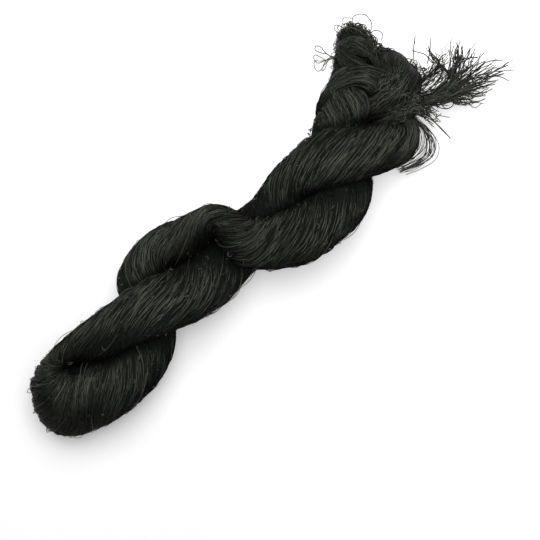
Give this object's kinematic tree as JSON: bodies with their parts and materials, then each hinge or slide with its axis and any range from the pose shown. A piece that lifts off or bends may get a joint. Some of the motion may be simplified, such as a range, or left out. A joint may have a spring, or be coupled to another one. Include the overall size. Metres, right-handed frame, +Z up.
{
  "type": "twisted hank of bird netting",
  "caption": "Gathered black garden net, folded in half and twisted into a hank, with a looped end, a knotted end and a tassel of cut ends.",
  "frame": {"origin": "middle of the hank's footprint, on the surface it rests on", "axes": "+X along the hank from its looped end to its tassel, +Y towards the side where the ear of net stands out, +Z up"},
  "size_m": [0.3877, 0.11, 0.0603],
  "materials": {
    "netting": "fine black nylon thread, satin"
  },
  "bodies": {
    "root": {"hank": "netting", "cut_ends": "netting"}
  },
  "joints": []
}
